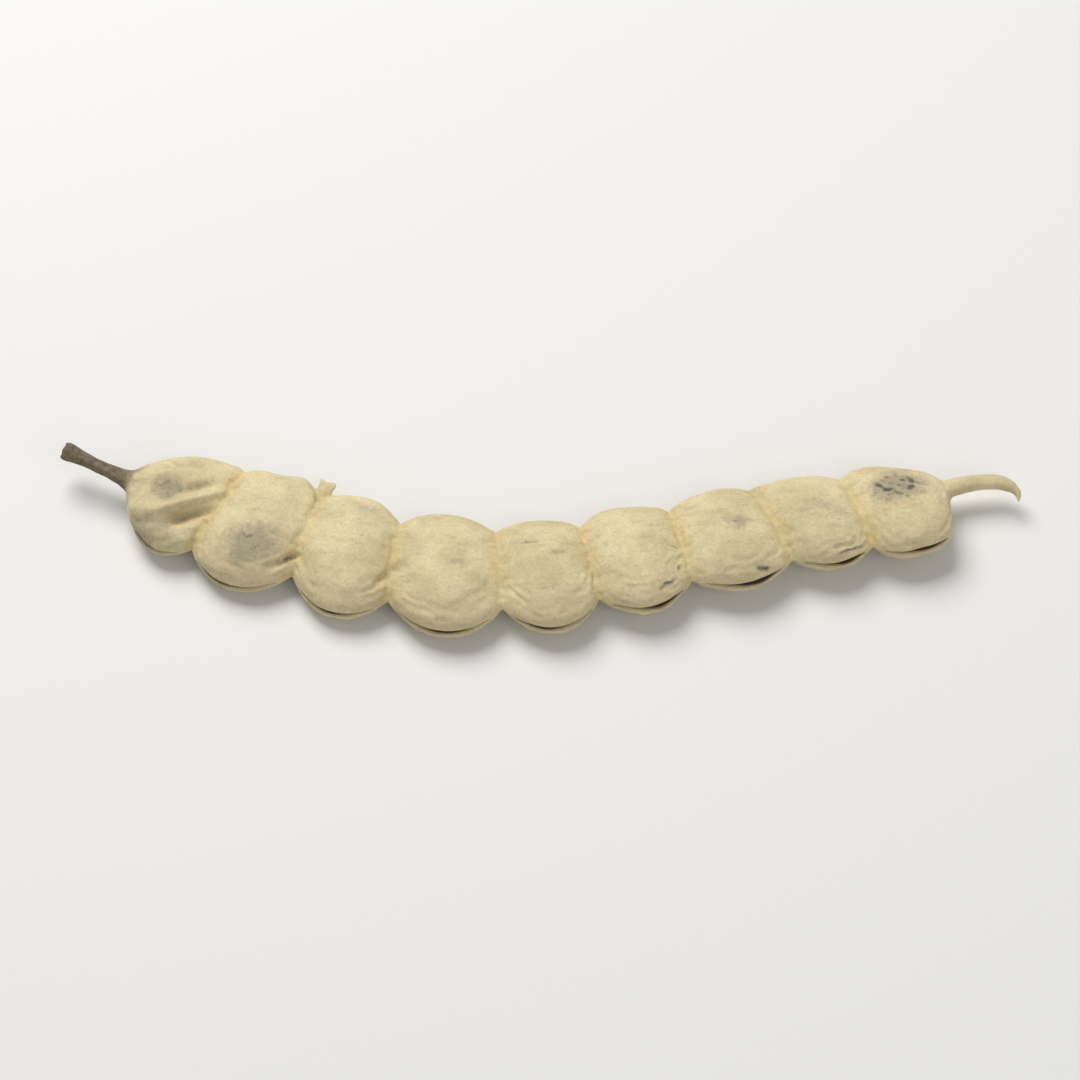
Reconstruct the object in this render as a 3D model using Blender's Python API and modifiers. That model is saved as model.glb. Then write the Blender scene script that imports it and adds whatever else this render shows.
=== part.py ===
"""A dry babul pod, lying flat: a flat, felted legume pinched between its seeds like a string of beads.

The stalk, the chambers and the tail grew as one piece, and are one solid. It is first lofted straight
along X, ring by ring, and a guide curve then lays it along the bend that the pod dried in, with its
slight twist. The frame is +Z up, with the stalk at -X, the tail at +X, and the origin on the surface
that the pod rests on, under the middle of its bounding box.
"""

import math
from collections import namedtuple

import bmesh
import bpy
from mathutils import Matrix, Vector

MM = 0.001

# One seed chamber: how long, wide and thick it is, and how far its middle sits off the centre line
# across the pod. All in millimetres.
Chamber = namedtuple("Chamber", "length width thickness offset")
# One pinch between two chambers: its width and thickness, how far it leans from square, in degrees,
# and how sharp a crease it is, from 0 to 1.
PINCH_CREASE = 0.75
Pinch = namedtuple("Pinch", "width thickness lean crease", defaults=(PINCH_CREASE,))
# One ring of the loft: its place along, across and above the centre line, half its width, half its
# thickness, its lean from square, and how sharp a crease it makes, from 0 to 1.
Ring = namedtuple("Ring", "along across above half_width half_thickness lean crease", defaults=(0.0,))

CHAMBERS = (
    Chamber(12.4, 15.8, 6.0, -0.8),  # next to the stalk, with a shrivelled seed
    Chamber(12.6, 19.1, 7.6, -1.0),
    Chamber(12.2, 18.8, 7.8, -0.9),
    Chamber(13.8, 19.3, 7.9, -0.9),
    Chamber(11.9, 18.3, 7.8, -1.1),
    Chamber(12.3, 17.9, 7.7, -0.9),
    Chamber(12.5, 17.5, 7.6, -0.7),
    Chamber(11.6, 17.0, 7.5, -0.7),
    Chamber(12.6, 15.6, 7.5, -0.5),  # next to the tail
)
PINCHES = (
    Pinch(4.2, 2.9, 0.0, 0.0),  # where the stalk joins
    Pinch(12.9, 4.3, -7.0),
    Pinch(12.9, 4.4, -1.0),
    Pinch(12.8, 4.3, 5.0),
    Pinch(12.1, 4.2, 5.0),
    Pinch(12.3, 4.3, 0.0),
    Pinch(12.4, 4.3, 4.0),
    Pinch(12.4, 4.2, 12.0),
    Pinch(12.2, 4.2, 8.0),
    Pinch(4.6, 2.8, 0.0, 0.0),  # where the tail leaves
)
# Where each chamber has rings, from -1 at one pinch to 1 at the next. The pinch itself is the first.
RINGS_IN_CHAMBER = (-1.0, -0.8, -0.42, 0.0, 0.42, 0.8)

TAIL_OFFSET = 2.2  # the tail leaves the last chamber towards its back edge
# The tail past the last chamber: along, across, above, half its width and half its thickness.
TAIL_RINGS = (
    (1.4, 2.5, 0.0, 1.30, 1.20),
    (4.4, 2.7, 0.1, 1.15, 1.10),
    (7.2, 2.4, 0.0, 1.10, 1.05),
    (9.0, 1.5, -0.4, 0.85, 0.80),
    (9.9, 0.3, -0.9, 0.45, 0.45),
    (10.2, -0.6, -1.2, 0.15, 0.15),
)

STALK_LENGTH = 10.5
# The stalk, from the scar that it broke off at to the pod: share of its length, and its radius.
STALK_RINGS = ((0.0, 1.15), (0.07, 1.30), (0.2, 0.95), (0.5, 0.88), (0.8, 1.05), (0.93, 1.35))

# The centre line as the pod dried, from the stalk's scar to past the tail: x, y, height above the
# surface, and twist in degrees.
CENTRE_LINE = (
    (-63.5, 17.8, 5.1, 4.0),
    (-52.3, 12.6, 4.0, 6.0),
    (-29.5, 4.1, 3.4, 5.0),
    (-5.1, 0.0, 3.35, 0.0),
    (17.3, 3.6, 3.4, -5.0),
    (39.5, 8.0, 3.4, -8.0),
    (66.0, 12.0, 4.1, -9.0),
)
CENTRE_LINE_STEPS = 48

RING_SIDES = 12
SMOOTHING_LEVELS = 1
RIM_SHARPNESS = 0.09  # how far the two edges stand out of an ellipse, as a share of its half width
RIM_FOCUS = 6  # the higher, the closer to the edge the ellipse starts to stand out
RIM_THINNING = 0.82  # the thickness beside the edges, as a share of the ellipse's

CUTTER_SIZE = (200 * MM, 60 * MM, 20 * MM)  # the surface, as a block that flattens the pod's underside

FELT_COLOUR = (0.66, 0.56, 0.35, 1.0)
FELT_ROUGHNESS = 0.9


def arc_height(distance, half_span, rise):
    """The height over its chord of a circular arc, at a distance from its middle."""
    radius = (half_span**2 + rise**2) / (2 * rise)
    return math.sqrt(max(radius**2 - distance**2, 0.0)) - (radius - rise)


def smooth_step(t):
    t = min(max(t, 0.0), 1.0)
    return t * t * (3 - 2 * t)


def mix(a, b, t):
    return a + (b - a) * t


def chamber_rings(start, chamber, before, after, tail_shift):
    """The rings of one chamber: its edges and faces are arcs from pinch to pinch."""
    half_span = chamber.length / 2
    width_rise = (chamber.width - (before.width + after.width) / 2) / 2
    thickness_rise = (chamber.thickness - (before.thickness + after.thickness) / 2) / 2
    rings = []
    for u in RINGS_IN_CHAMBER:
        t = (u + 1) / 2
        distance = u * half_span
        half_width = mix(before.width, after.width, t) / 2
        half_thickness = mix(before.thickness, after.thickness, t) / 2
        rings.append(
            Ring(
                along=start + half_span + distance,
                across=chamber.offset * (1 - u * u) + tail_shift * smooth_step(u),
                above=0.0,
                half_width=half_width + arc_height(distance, half_span, width_rise),
                half_thickness=half_thickness + arc_height(distance, half_span, thickness_rise),
                lean=mix(before.lean, after.lean, t),
                crease=before.crease if u == -1.0 else 0.0,
            )
        )
    return rings


def pod_rings():
    """Every ring of the pod, from the stalk's scar to the tip of the tail."""
    rings = [Ring(share * STALK_LENGTH, 0.0, 0.0, r, r, 0.0) for share, r in STALK_RINGS]
    start = STALK_LENGTH
    for number, chamber in enumerate(CHAMBERS):
        last = number == len(CHAMBERS) - 1
        rings += chamber_rings(
            start, chamber, PINCHES[number], PINCHES[number + 1], TAIL_OFFSET if last else 0.0
        )
        start += chamber.length
    end = PINCHES[-1]
    rings.append(Ring(start, TAIL_OFFSET, 0.0, end.width / 2, end.thickness / 2, 0.0))
    rings += [Ring(start + along, *rest, 0.0) for along, *rest in TAIL_RINGS]
    return rings


def lens_point(angle):
    """A point of a unit ring across X: an ellipse whose two edges are drawn out and thinned."""
    edge = math.cos(angle) ** RIM_FOCUS
    across = math.cos(angle) * (1 + RIM_SHARPNESS * edge)
    above = math.sin(angle) * mix(1.0, RIM_THINNING, math.cos(angle) ** 2)
    return Vector((0.0, across, above))


def place_of(ring):
    """The matrix that carries the unit ring to its place in the straight pod."""
    move = Matrix.Translation(Vector((ring.along, ring.across, ring.above)) * MM)
    turn = Matrix.Rotation(math.radians(ring.lean), 4, "Z")
    size = Matrix.Diagonal((1.0, ring.half_width * MM, ring.half_thickness * MM, 1.0))
    return move @ turn @ size


def loft(name, rings, material, collection):
    """A closed tube along X: a disc, extruded from each ring to the next, then subdivided."""
    bm = bmesh.new()
    bmesh.ops.create_circle(bm, cap_ends=True, radius=1.0, segments=RING_SIDES)
    for number, vertex in enumerate(bm.verts):
        vertex.co = place_of(rings[0]) @ lens_point(math.tau * number / RING_SIDES)
    face = bm.faces[:][0]
    crease = bm.edges.layers.float.new("crease_edge")
    for before, after in zip(rings, rings[1:]):
        made = bmesh.ops.extrude_face_region(bm, geom=[face, *face.edges, *face.verts])["geom"]
        carry = place_of(after) @ place_of(before).inverted()
        for item in made:
            if isinstance(item, bmesh.types.BMVert):
                item.co = carry @ item.co
            elif isinstance(item, bmesh.types.BMFace):
                face = item
        for edge in face.edges:
            edge[crease] = after.crease
    bmesh.ops.recalc_face_normals(bm, faces=bm.faces[:])
    mesh = bpy.data.meshes.new(name)
    bm.to_mesh(mesh)
    bm.free()
    mesh.shade_smooth()
    mesh.materials.append(material)
    obj = bpy.data.objects.new(name, mesh)
    collection.objects.link(obj)
    smooth = obj.modifiers.new("smooth", "SUBSURF")
    smooth.levels = SMOOTHING_LEVELS
    smooth.render_levels = SMOOTHING_LEVELS
    return obj


def centre_line(collection):
    """The guide that lays the straight pod along its bend."""
    curve = bpy.data.curves.new("centre_line", "CURVE")
    curve.dimensions = "3D"
    curve.twist_mode = "Z_UP"
    curve.resolution_u = CENTRE_LINE_STEPS
    spline = curve.splines.new("BEZIER")
    spline.bezier_points.add(len(CENTRE_LINE) - 1)
    for point, (x, y, z, twist) in zip(spline.bezier_points, CENTRE_LINE):
        point.co = Vector((x, y, z)) * MM
        point.handle_left_type = "AUTO"
        point.handle_right_type = "AUTO"
        point.tilt = math.radians(twist)
    guide = bpy.data.objects.new("centre_line", curve)
    collection.objects.link(guide)
    guide.hide_render = True
    guide.display_type = "WIRE"
    return guide


def lay_along(obj, guide):
    bend = obj.modifiers.new("lay_along", "CURVE")
    bend.object = guide
    bend.deform_axis = "POS_X"


def surface_cutter(collection):
    """A block whose top face is the surface that the pod lies on."""
    bm = bmesh.new()
    size = Vector(CUTTER_SIZE)
    under = Matrix.Translation((0.0, 0.0, -size.z / 2)) @ Matrix.Diagonal((*size, 1.0))
    bmesh.ops.create_cube(bm, size=1.0, matrix=under)
    mesh = bpy.data.meshes.new("surface")
    bm.to_mesh(mesh)
    bm.free()
    cutter = bpy.data.objects.new("surface", mesh)
    collection.objects.link(cutter)
    cutter.hide_render = True
    cutter.display_type = "WIRE"
    return cutter


def flatten_underside(obj, cutter):
    """Cuts the underside off at the surface, which leaves a small flat foot under each chamber."""
    cut = obj.modifiers.new("flatten_underside", "BOOLEAN")
    cut.operation = "DIFFERENCE"
    cut.solver = "EXACT"
    cut.object = cutter


def felt():
    material = bpy.data.materials.new("pod_felt")
    material.use_nodes = True
    shader = material.node_tree.nodes["Principled BSDF"]
    shader.inputs["Base Color"].default_value = FELT_COLOUR
    shader.inputs["Roughness"].default_value = FELT_ROUGHNESS
    shader.inputs["Metallic"].default_value = 0.0
    return material


def middle_of(obj):
    """The middle of an object's bounding box, seen from above."""
    bpy.context.view_layer.update()
    shown = obj.evaluated_get(bpy.context.evaluated_depsgraph_get())
    points = [shown.matrix_world @ vertex.co for vertex in shown.to_mesh().vertices]
    shown.to_mesh_clear()
    low = [min(p[axis] for p in points) for axis in range(2)]
    high = [max(p[axis] for p in points) for axis in range(2)]
    return [(a + b) / 2 for a, b in zip(low, high)]


def main():
    for obj in list(bpy.data.objects):
        bpy.data.objects.remove(obj)
    parts = bpy.data.collections.new("babul_pod")
    helpers = bpy.data.collections.new("helpers")
    for collection in (parts, helpers):
        bpy.context.scene.collection.children.link(collection)

    frame = bpy.data.objects.new("pod_frame", None)
    parts.objects.link(frame)
    guide = centre_line(helpers)
    pod = loft("pod", pod_rings(), felt(), parts)
    lay_along(pod, guide)
    flatten_underside(pod, surface_cutter(helpers))
    for obj in (guide, pod):
        obj.parent = frame
    x, y = middle_of(pod)
    frame.location = (-x, -y, 0.0)


main()
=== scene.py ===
"""The look of a dry babul pod: its felted wall, its split seam, its shrivelled chamber and its stains.

Run as a script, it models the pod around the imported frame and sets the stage. It is laid out as an
add-on: one operator models the pod, one sets the stage, and a panel in the 3D view lists them.

The pod is modelled straight, along +X from its stalk to its tail with its front seam at -Y, and is laid
along the bend it dried in at the end. Lengths in the lists below are millimetres.
"""

import math
from collections import namedtuple

import bmesh
import bpy
import numpy as np
from bpy.props import FloatProperty, FloatVectorProperty, IntProperty, PointerProperty
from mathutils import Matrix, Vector, noise


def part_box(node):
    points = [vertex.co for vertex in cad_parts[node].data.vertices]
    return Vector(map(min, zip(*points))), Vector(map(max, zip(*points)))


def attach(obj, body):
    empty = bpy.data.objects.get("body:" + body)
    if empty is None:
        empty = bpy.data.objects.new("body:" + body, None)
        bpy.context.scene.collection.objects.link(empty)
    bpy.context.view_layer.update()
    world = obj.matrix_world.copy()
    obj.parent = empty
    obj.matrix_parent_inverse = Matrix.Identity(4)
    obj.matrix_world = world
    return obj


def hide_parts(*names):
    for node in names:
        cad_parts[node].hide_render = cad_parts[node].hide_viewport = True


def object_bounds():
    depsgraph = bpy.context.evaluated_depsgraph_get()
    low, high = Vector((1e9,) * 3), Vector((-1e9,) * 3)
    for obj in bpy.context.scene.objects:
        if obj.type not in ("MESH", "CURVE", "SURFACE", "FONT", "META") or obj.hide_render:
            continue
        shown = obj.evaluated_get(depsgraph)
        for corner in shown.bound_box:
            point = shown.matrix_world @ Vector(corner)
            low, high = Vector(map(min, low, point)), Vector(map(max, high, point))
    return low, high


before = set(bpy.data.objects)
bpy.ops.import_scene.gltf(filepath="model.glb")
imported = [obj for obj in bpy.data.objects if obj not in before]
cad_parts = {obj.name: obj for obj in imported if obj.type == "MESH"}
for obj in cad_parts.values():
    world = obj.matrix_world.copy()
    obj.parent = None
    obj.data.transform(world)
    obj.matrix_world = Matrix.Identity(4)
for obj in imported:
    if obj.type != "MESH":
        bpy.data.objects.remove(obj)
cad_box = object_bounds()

bl_info = {
    "name": "Babul Pod",
    "version": (1, 0, 0),
    "blender": (4, 5, 0),
    "location": "View3D > Sidebar > Babul Pod",
    "description": "Models one dry babul pod and sets it on a plain stage",
    "category": "Add Mesh",
}

MM = 0.001

# ------------------------------------------------------------------ the pod's own measures

# One chamber: its length, width and thickness, how far it sits off the centre line across the pod, how
# far the seed swells its face, how wide its slit gapes, and where, as a share of its half length.
Chamber = namedtuple("Chamber", "length width thickness offset swell gape gape_at")
CHAMBERS = (
    Chamber(12.4, 15.8, 5.6, -0.8, -0.15, 0.05, -0.3),
    Chamber(12.6, 19.1, 7.1, -1.0, 0.26, 0.16, -0.35),
    Chamber(12.2, 18.8, 7.2, -0.9, 0.28, 0.16, -0.1),
    Chamber(13.8, 19.3, 7.3, -0.9, 0.30, 0.22, 0.0),
    Chamber(11.9, 18.3, 7.2, -1.1, 0.26, 0.12, -0.25),
    Chamber(12.3, 17.9, 7.1, -0.9, 0.24, 0.50, 0.3),
    Chamber(12.5, 17.5, 7.0, -0.7, 0.22, 0.58, 0.2),
    Chamber(11.6, 17.0, 6.9, -0.7, 0.22, 0.46, 0.3),
    Chamber(12.6, 15.6, 6.9, -0.5, 0.22, 0.36, 0.25),
)
# One pinch: its width and thickness, how far it leans, and how far it sits off the centre line.
Pinch = namedtuple("Pinch", "width thickness lean offset")
PINCHES = (
    Pinch(4.2, 2.9, 0.0, 0.0),
    Pinch(13.7, 4.0, -7.0, 0.44),
    Pinch(12.0, 4.1, -1.0, 0.2),
    Pinch(12.1, 4.0, 5.0, -0.55),
    Pinch(12.2, 3.9, 5.0, -0.4),
    Pinch(12.15, 4.0, 0.0, -0.6),
    Pinch(12.2, 4.0, 4.0, -0.45),
    Pinch(13.6, 3.9, 12.0, 0.53),
    Pinch(12.85, 3.9, 8.0, 0.24),
    Pinch(2.8, 2.4, 0.0, 0.0),
)
RINGS_IN_CHAMBER = (-1.0, -0.78, -0.4, 0.0, 0.4, 0.78)
SLIT_SHARE = 0.78  # a slit reaches this far from its chamber's middle towards each pinch
FIRST_SLIT_SHARE = 0.35  # but only this far towards the stalk, where the first chamber narrows fast
# The last chamber ends bluntly beside the tail. Over its second half: along as a share of the chamber's
# half length, across, half its width and half its thickness.
BLUNT_END = (
    (0.0, -0.5, 7.8, 3.4),
    (0.42, -0.75, 7.25, 3.3),
    (0.78, -0.85, 6.0, 2.7),
    (0.96, -0.5, 4.3, 1.9),
)

# The stalk from its scar: along as a share of its length, and its radius.
STALK_RINGS = ((0.0, 1.15), (0.07, 1.30), (0.2, 0.95), (0.5, 0.88), (0.8, 1.05), (0.93, 1.35))
TAIL_OFFSET = 2.2  # the tail leaves the last chamber this far towards its back
# The tail past the last chamber: along, across, above, half its width, half its thickness, and its lean.
TAIL_RINGS = (
    (1.4, 2.5, 0.0, 1.25, 1.15, 2.0),
    (4.4, 2.7, 0.1, 1.10, 1.05, 0.0),
    (7.0, 2.4, 0.0, 1.08, 1.02, -16.0),
    (8.6, 1.7, -0.3, 0.88, 0.82, -40.0),
    (9.4, 0.8, -0.7, 0.58, 0.55, -72.0),
    (9.5, 0.0, -1.0, 0.30, 0.30, -92.0),
    (9.3, -0.6, -1.2, 0.07, 0.07, -105.0),
)

# The bend that the pod dried in: x, y, height above the floor, and twist in degrees.
BEND = (
    (-63.5, 17.8, 5.1, 4.0),
    (-52.3, 12.6, 4.0, 6.0),
    (-29.5, 4.1, 3.4, 5.0),
    (-5.1, 0.0, 3.35, 0.0),
    (17.3, 3.6, 3.4, -5.0),
    (39.5, 8.0, 3.4, -8.0),
    (66.0, 12.0, 4.1, -9.0),
)
BEND_STEPS = 48

# A crease or fold: which chamber it is on (from 1) and which face, how far its middle is along and
# across from the chamber's, its angle in degrees, its length and width, and how far it rises.
Fold = namedtuple("Fold", "chamber face along across angle length width rise")
UPPER, LOWER = 1, -1
FOLDS = (
    Fold(1, UPPER, -1.2, 0.9, 10, 3.8, 1.9, -1.15),
    Fold(1, UPPER, 2.6, 2.1, 36, 5.0, 0.8, -0.75),
    Fold(1, UPPER, 2.3, -0.5, 38, 9.0, 0.60, 0.85),
    Fold(1, UPPER, 3.5, -2.4, 38, 6.0, 0.90, -1.30),
    Fold(1, UPPER, -2.6, -3.4, 14, 4.6, 0.7, 0.32),
    Fold(1, UPPER, -2.0, -5.0, 10, 4.4, 0.5, -0.32),
    Fold(1, UPPER, 0.4, 5.2, 20, 4.5, 0.8, -0.22),
    Fold(1, UPPER, -4.4, -1.6, 75, 3.6, 0.5, -0.30),
    Fold(2, UPPER, 5.2, -4.3, 44, 4.8, 0.50, -0.58),
    Fold(2, UPPER, 3.6, -5.6, 35, 3.0, 0.40, 0.16),
    Fold(2, UPPER, -5.6, 2.8, 70, 4.0, 0.45, -0.22),
    Fold(3, UPPER, 6.0, -3.3, 50, 5.0, 0.55, -0.55),
    Fold(3, UPPER, -5.4, -4.0, -55, 2.6, 0.35, -0.22),
    Fold(4, UPPER, -5.9, 1.5, 80, 3.6, 0.40, -0.16),
    Fold(4, UPPER, 2.2, -0.8, 4, 3.4, 0.30, -0.12),
    Fold(5, UPPER, -1.8, 3.0, 5, 2.4, 0.25, -0.14),
    Fold(5, UPPER, 1.8, 0.4, 2, 3.6, 0.28, -0.12),
    Fold(6, UPPER, 4.8, -1.6, -35, 2.6, 0.28, -0.36),
    Fold(6, UPPER, 4.2, -3.4, 25, 2.6, 0.35, 0.18),
    Fold(8, UPPER, 1.4, -6.0, 4, 4.0, 0.26, -0.30),
    Fold(9, UPPER, -1.0, 1.4, 10, 5.0, 1.8, -0.18),
    Fold(9, UPPER, -4.4, -1.4, 62, 4.0, 0.5, -0.20),
    Fold(1, LOWER, 0.5, 0.4, -30, 8.5, 1.4, -0.60),
    Fold(1, LOWER, -1.5, -3.0, -24, 6.0, 0.7, 0.30),
    Fold(3, LOWER, 5.0, 3.8, -48, 4.0, 0.4, -0.30),
    Fold(5, LOWER, -4.8, -3.6, 52, 3.6, 0.4, -0.28),
    Fold(7, LOWER, 5.0, -3.2, -40, 3.8, 0.4, -0.28),
    Fold(8, LOWER, -1.0, 1.5, 15, 6.0, 1.6, -0.30),
)

# Where an outline stands out from its arc or falls short of it: the chamber, the side, where it is
# and how far it reaches, as shares of the chamber's half length, and how far it stands out.
Shoulder = namedtuple("Shoulder", "chamber side at reach rise")
BACK, FRONT = 1, -1
SHOULDERS = (
    Shoulder(1, BACK, 0.45, 0.40, -0.35),
    Shoulder(2, BACK, 0.48, 0.34, 0.80),
    Shoulder(2, BACK, -0.25, 0.36, -0.30),
    Shoulder(3, BACK, 0.35, 0.36, 0.25),
    Shoulder(6, BACK, -0.40, 0.34, 0.25),
)

# A grey stain of the seed beneath: its chamber, face, place, half its length and width, and how strong.
# Two are painted shade instead, as marked.
Stain = namedtuple("Stain", "chamber face along across half_length half_width angle strength")
STAINS_AND_SHADE = (
    Stain(1, UPPER, -1.2, 0.9, 2.7, 2.5, 10, 1.00),
    # this one lies along the first chamber's upper valley and greys it
    Stain(1, UPPER, 1.8, 2.4, 2.6, 1.3, 35, 0.45),
    # painted shade, not a stain: darkens the hollow under the first chamber's ridge
    Stain(1, UPPER, 3.4, -2.4, 3.0, 1.3, 36, 0.60),
    # painted shade, with some grey: darkens the first chamber's lower flank towards the front seam
    Stain(1, UPPER, -1.6, -6.2, 6.5, 2.8, 6, 0.90),
    Stain(2, UPPER, 0.8, -3.2, 3.9, 3.7, 20, 1.00),
    Stain(2, UPPER, -2.0, -8.2, 4.5, 1.6, -14, 0.35),
    Stain(3, UPPER, 1.2, 6.4, 3.2, 1.4, -8, 0.50),
    # this one lies along a crease of the fourth chamber and greys it
    Stain(4, UPPER, 2.0, -0.8, 2.6, 1.0, 3, 0.38),
    Stain(4, UPPER, -0.4, 3.8, 2.2, 0.7, 3, 0.28),
    # this one lies along a crease of the fifth chamber and greys it
    Stain(5, UPPER, 1.8, 0.4, 2.4, 0.8, 2, 0.45),
    Stain(6, UPPER, 1.5, 1.0, 3.0, 0.8, 5, 0.25),
    Stain(7, UPPER, 1.3, 0.2, 2.2, 1.8, 0, 0.70),
    Stain(8, UPPER, 0.9, 0.1, 3.4, 2.6, 0, 0.50),
    Stain(9, UPPER, -0.5, 1.7, 4.6, 3.4, 4, 1.00),
    Stain(3, LOWER, 0.0, 0.0, 3.4, 2.8, 0, 0.70),
    Stain(6, LOWER, 0.6, -1.0, 3.0, 2.6, 0, 0.80),
    Stain(8, LOWER, 0.0, 1.0, 2.4, 2.0, 0, 0.50),
)
# Ochre patches where the felt is rubbed thin, measured as the stains are. Three are painted brown shade
# in a hollow and two creases instead, as marked.
OCHRES_AND_CREASE_SHADE = (
    # painted shade: brown in the first chamber's hollow
    Stain(1, UPPER, 3.6, -2.5, 2.8, 1.5, 36, 1.00),
    Stain(1, UPPER, 5.2, 1.0, 1.6, 1.6, 0, 0.50),
    # painted shade: brown in the second chamber's crease
    Stain(2, UPPER, 5.8, -3.4, 1.4, 1.8, 50, 0.95),
    Stain(3, UPPER, -5.8, -1.4, 1.3, 2.6, 0, 0.60),
    # painted shade: brown in the third chamber's crease
    Stain(3, UPPER, 6.0, -3.4, 2.2, 0.9, 50, 0.65),
    Stain(4, UPPER, 6.6, -2.8, 1.6, 1.3, 10, 0.85),
    Stain(5, UPPER, 5.4, 4.8, 1.0, 1.6, -30, 0.55),
    Stain(6, UPPER, 5.6, 5.0, 1.3, 1.0, 0, 0.70),
    Stain(6, UPPER, 5.4, 0.6, 1.5, 1.4, 0, 0.50),
    Stain(7, UPPER, 5.6, -0.6, 1.0, 2.0, 10, 0.60),
    Stain(9, UPPER, 6.2, 3.2, 1.8, 1.2, 0, 0.75),
    Stain(9, UPPER, -0.4, -1.9, 4.6, 1.4, 2, 0.55),
    Stain(4, LOWER, -6.0, 1.5, 1.6, 1.4, 0, 0.60),
    Stain(7, LOWER, 5.4, -2.0, 1.4, 1.6, 0, 0.60),
)
# Dark strokes where the felt has split or worn through, measured as folds are, with how dark each is.
# One is painted shade in a crease instead, as marked.
Scab = namedtuple("Scab", "chamber face along across angle length width strength")
SCABS_AND_CREASE_SHADE = (
    Scab(9, UPPER, -2.7, 2.3, -58, 1.3, 0.34, 0.85),
    Scab(9, UPPER, -1.9, 1.3, -20, 1.5, 0.38, 0.95),
    Scab(9, UPPER, -0.8, 0.2, -38, 1.3, 0.32, 0.80),
    Scab(9, UPPER, -1.3, 3.6, 8, 0.8, 0.30, 0.75),
    Scab(9, UPPER, -0.1, 3.9, -30, 0.7, 0.28, 0.60),
    Scab(9, UPPER, 0.5, 2.7, -50, 0.9, 0.36, 0.85),
    Scab(9, UPPER, 1.5, 2.4, -80, 1.5, 0.46, 1.00),
    Scab(9, UPPER, 1.1, 1.0, 30, 1.4, 0.44, 0.95),
    Scab(9, UPPER, -3.7, 1.0, 64, 1.1, 0.36, 0.55),
    Scab(9, UPPER, 2.6, 0.0, -30, 1.0, 0.40, 0.50),
    Scab(9, UPPER, -2.3, -0.6, 16, 1.2, 0.34, 0.55),
    Scab(9, UPPER, 3.3, 1.2, -66, 0.8, 0.34, 0.40),
    Scab(9, UPPER, -1.2, 2.4, 30, 0.8, 0.22, 0.60),
    Scab(9, UPPER, -0.3, 1.6, -64, 0.9, 0.22, 0.65),
    Scab(9, UPPER, 0.4, 1.8, 20, 0.6, 0.20, 0.60),
    Scab(9, UPPER, 0.7, 3.5, 42, 0.8, 0.22, 0.55),
    Scab(9, UPPER, 2.4, 1.7, -50, 0.8, 0.24, 0.60),
    Scab(9, UPPER, -2.1, 3.1, -12, 0.7, 0.22, 0.55),
    Scab(9, UPPER, 0.2, -0.4, 8, 0.8, 0.22, 0.50),
    # these two lie along the fifth chamber's creases and darken them
    Scab(5, UPPER, -1.8, 3.0, 5, 2.7, 0.30, 0.55),
    Scab(5, UPPER, 1.7, 0.6, -4, 3.0, 0.32, 0.38),
    Scab(2, UPPER, -0.4, -2.3, -50, 1.3, 0.24, 0.60),
    Scab(2, UPPER, 1.1, -3.6, 30, 0.9, 0.26, 0.50),
    # painted shade: dark in the second chamber's crease
    Scab(2, UPPER, 5.7, -3.9, 60, 1.7, 0.36, 0.65),
    Scab(1, UPPER, -1.9, 1.7, 30, 1.1, 0.26, 0.50),
    Scab(1, UPPER, -0.5, 0.0, -20, 1.2, 0.26, 0.50),
    Scab(6, UPPER, 2.6, -6.9, 20, 3.2, 0.34, 0.80),
    Scab(6, UPPER, 4.7, -5.0, 42, 1.3, 0.26, 0.60),
    # this one lies along the sixth chamber's crease and darkens it
    Scab(6, UPPER, 4.8, -1.7, -35, 1.9, 0.20, 0.70),
    Scab(7, UPPER, 2.0, -7.0, -2, 2.0, 0.34, 0.75),
    # this one lies along the eighth chamber's crease and darkens it
    Scab(8, UPPER, 2.1, -6.5, 8, 4.4, 0.26, 0.75),
    Scab(8, UPPER, 3.4, -5.0, 20, 1.1, 0.26, 0.50),
    Scab(6, LOWER, 0.6, -1.0, 35, 2.6, 0.30, 0.85),
    Scab(6, LOWER, 1.6, 0.4, -40, 1.4, 0.28, 0.70),
    Scab(3, LOWER, -0.6, 0.8, 10, 1.8, 0.26, 0.55),
)


# ------------------------------------------------------------------ settings in the panel


def length_setting(name, description, default):
    return FloatProperty(name=name, description=description, default=default, unit="LENGTH")


def colour_setting(name, description, default):
    return FloatVectorProperty(name=name, description=description, default=default, subtype="COLOR")


class PodSizes(bpy.types.PropertyGroup):
    """The sizes of the pod that a user would change."""

    stalk_length: length_setting(
        "Stalk length", "From the stalk's broken end to the first chamber", 10.5 * MM
    )
    slit_depth: length_setting(
        "Slit depth", "How far the front seam has opened into each chamber", 1.5 * MM
    )
    gape: FloatProperty(
        name="Gape",
        description="How far the front seam gapes, as a share of each chamber's own gape",
        default=1.0,
        min=0.0,
        max=2.0,
    )
    lip: length_setting("Lip", "How far the lower valve's margin stands out", 0.30 * MM)
    fineness: IntProperty(
        name="Fineness",
        description="Levels of subdivision of the pod's wall",
        default=3,
        min=1,
        max=3,
    )


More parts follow.
